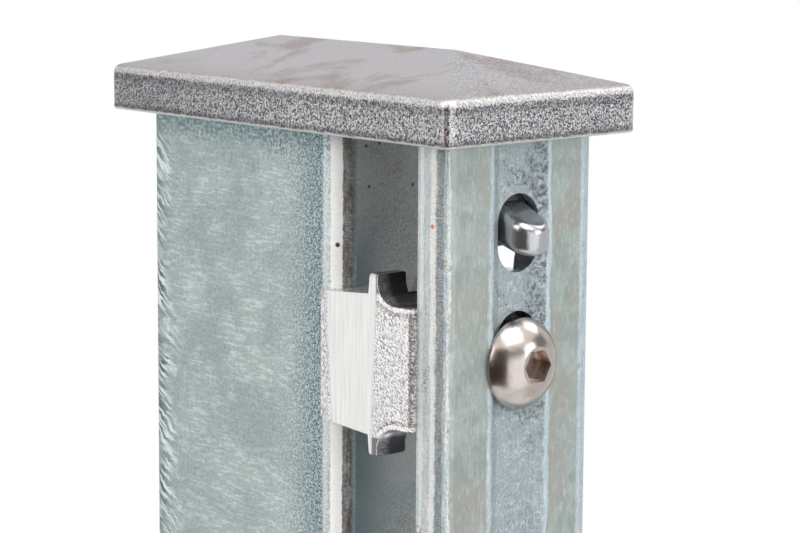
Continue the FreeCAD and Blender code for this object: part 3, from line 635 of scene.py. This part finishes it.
# The plate behind the strip's slot gets painted shade
PLATE_BAND = (-0.0546, 0.0015, 0.0002)
PLATE_SIDE = (0.0118, 0.0122)
CLAMP_RAGGED = (420.0, 3.0, 0.6)
CLAMP_RAGGED_BY = 0.0016
STIPPLE = (1.0, 2.0, 0.6, 0.5)
SMOOTH_SWELL = (330.0, 1.0, 0.5)
GRINDING_STROKES = (2600.0, 2600.0, 60.0)
CLAMP_LIGHT = (0.97, 0.96, 0.96, 1.0)
CLAMP_DARK = (0.34, 0.325, 0.34, 1.0)
CLAMP_BROWN = (0.16, 0.115, 0.10, 1.0)
CLAMP_GROUND = (0.88, 0.88, 0.86, 1.0)
CLAMP_STROKE = (0.76, 0.76, 0.74, 1.0)
CLAMP_POLISHED = (0.46, 0.47, 0.49, 1.0)
CLAMP_SADDLE = (0.20, 0.185, 0.195, 1.0)
PLATE_PAINTED_SHADE = (0.045, 0.045, 0.05, 1.0)


def clamp_rise(up):
    """The height above the middle of the nearest clamp, negative below it."""
    return (up - LOWEST_CLAMP + 0.5 * CLAMP_SPACING).remainder(CLAMP_SPACING) - 0.5 * CLAMP_SPACING


def clamp_cast():
    shader = Shader(bpy.data.materials.new("clamp_cast"))
    point = shader.point()
    across, deep, up = shader.split(point)
    side = abs(across)
    rise = clamp_rise(up)
    height = abs(rise)
    ragged = (shader.noise(point, *CLAMP_RAGGED) - 0.5) * CLAMP_RAGGED_BY

    # Ground sides, which reach further forward at the top and stop short of the rear at the bottom
    reach = shader.between(rise, *REACH_RISE, 0.0, REACH_MOST)
    wear = ragged + shader.between(rise, *WEAR_RISE, WEAR_MOST, 0.0)
    ground = (shader.between(side, *GROUND_SIDE) * shader.between(deep + reach, *GROUND_FRONT)
              * shader.between(deep + wear, *GROUND_REAR, 1.0, 0.0))
    strokes = shader.noise(shader.stretched(*GRINDING_STROKES), 1.0, 4.0, 0.6)
    brushed = shader.mix(shader.between(strokes, 0.35, 0.65), CLAMP_STROKE, CLAMP_GROUND)

    # Saddles: what lies less than the round's radius behind its middle and below it
    behind = (deep - LUG_FRONT + SADDLE_ROUND).or_nothing()
    below = (SADDLE_HEIGHT + SADDLE_ROUND - height).or_nothing()
    hollow = shader.distance(shader.add("ShaderNodeCombineXYZ", {0: behind, 1: below}))
    saddle = shader.between(hollow, *SADDLE_EDGE, 1.0, 0.0)
    outer = shader.between(side, *SADDLE_OUTSIDE)
    before_lug = shader.between(deep, *RIM_END, 1.0, 0.0)

    # Stippled skin with slanting hatches, a painted brown reflection down the front corner, brown along the
    # saddle's rim and a painted highlight on the rim itself
    slant = shader.add("ShaderNodeCombineXYZ", {0: across * 1500.0, 1: deep * 3300.0 - up * 2750.0,
                                                2: deep * 1050.0 + up * 1300.0})
    stipple = shader.between(shader.noise(slant, *STIPPLE), 0.40, 0.57)
    front_corner = shader.band(ragged * 0.4 - deep - side, *FRONT_CORNER)
    groove = shader.band(hollow, *SADDLE_GROOVE) * before_lug
    rim = shader.band(hollow, *SADDLE_RIM) * before_lug
    cast = shader.mix(stipple, CLAMP_DARK, CLAMP_LIGHT)
    cast = shader.mix(front_corner * (0.90 - 0.50 * stipple), cast, CLAMP_BROWN)
    cast = shader.mix(groove * (0.85 - 0.60 * stipple), cast, CLAMP_BROWN)
    cast = shader.mix(rim * (0.45 + 0.45 * stipple), cast, CLAMP_LIGHT)

    # Smooth finger, lugs and saddles, and painted shade on the plate behind the strip's slot
    finger = shader.between(deep, *FINGER_ROOT, 1.0, 0.0)
    lug = shader.band(height, *LUG_BAND) * (1.0 - ground)
    smooth = shader.between(finger + lug + saddle, 0.0, 1.0)
    handled = shader.mix(finger, CLAMP_SADDLE, CLAMP_POLISHED)
    handled = shader.mix(outer * saddle * (0.35 + 0.60 * stipple), handled, CLAMP_LIGHT)
    shaded_plate = shader.band(deep, *PLATE_BAND) * shader.between(side, *PLATE_SIDE, 1.0, 0.0)
    colour = shader.mix(ground, shader.mix(smooth, cast, handled), brushed)
    colour = shader.mix(shaded_plate * 0.92, colour, PLATE_PAINTED_SHADE)

    swell = shader.noise(point, *SMOOTH_SWELL)
    rough = 0.30 + 0.08 * ground - 0.09 * smooth
    relief = (stipple * (1.0 - ground) * (1.0 - 0.95 * smooth) + 0.30 * strokes * ground
              + 1.2 * swell * smooth)
    return shader.surface(Base_Color=colour, Roughness=rough, Metallic=0.92,
                          Normal=shader.bump(relief, strength=0.65, distance=0.00020))


clamp_finish = clamp_cast()
for number in CLAMP_NUMBERS:
    dress("panel_clamp_%d" % number, clamp_finish)

# Clamp screws
# Button-head screws of stainless steel, turned and polished, with a hexagon socket.
# Each holds the strip and one clamp to the tube. The socket's walls are brown.
SOCKET_EDGE = (0.0034, 0.0037)
SOCKET_MOUTH = (-0.0636, -0.0630)
SOCKET_FOOT = (-0.0614, -0.0610)
SCREW_HAZE = (260.0, 4.0, 0.6)
TURNING_MARKS = (300.0, 300.0, 2600.0)
SCREW_WARM = (0.53, 0.48, 0.45, 1.0)
SCREW_DULL = (0.42, 0.37, 0.34, 1.0)
SOCKET_BROWN = (0.34, 0.19, 0.12, 1.0)


def screw_steel():
    shader = Shader(bpy.data.materials.new("screw_steel"))
    point = shader.point()
    across, deep, up = shader.split(point)
    haze = shader.noise(point, *SCREW_HAZE)
    scratches = shader.noise(shader.stretched(*TURNING_MARKS), 1.0, 2.0, 0.5, 1.2)
    from_axis = shader.distance(shader.add("ShaderNodeCombineXYZ", {0: across, 1: clamp_rise(up)}))
    wall = (shader.between(from_axis, *SOCKET_EDGE, 1.0, 0.0) * shader.between(deep, *SOCKET_MOUTH)
            * shader.between(deep, *SOCKET_FOOT, 1.0, 0.0))
    colour = shader.mix(shader.between(haze, 0.4, 0.7), SCREW_WARM, SCREW_DULL)
    colour = shader.mix(wall * shader.between(haze, 0.42, 0.58, 0.40, 0.90), colour, SOCKET_BROWN)
    rough = 0.17 + 0.10 * shader.between(haze, 0.35, 0.75) + 0.05 * scratches
    return shader.surface(Base_Color=colour, Roughness=rough, Metallic=1.0,
                          Normal=shader.bump(0.5 * scratches, strength=0.12, distance=0.00005))


screw_finish = screw_steel()
for number in CLAMP_NUMBERS:
    dress("clamp_screw_%d" % number, screw_finish)

# Rivet nuts
# Turned from steel and plated with zinc, then set in holes in the tube's front wall.
# They give the clamp screws their threads, and are seen only from inside the tube.
NUT_HAZE = (400.0, 3.0, 0.6)
NUT_DULL = (0.46, 0.45, 0.40, 1.0)
NUT_BRIGHT = (0.60, 0.59, 0.55, 1.0)


def nut_steel():
    shader = Shader(bpy.data.materials.new("nut_steel"))
    haze = shader.noise(shader.point(), *NUT_HAZE)
    return shader.surface(Base_Color=shader.mix(haze, NUT_DULL, NUT_BRIGHT),
                          Roughness=0.32 + 0.15 * haze, Metallic=0.9)


nut_finish = nut_steel()
for number in CLAMP_NUMBERS:
    dress("rivet_nut_%d" % number, nut_finish)
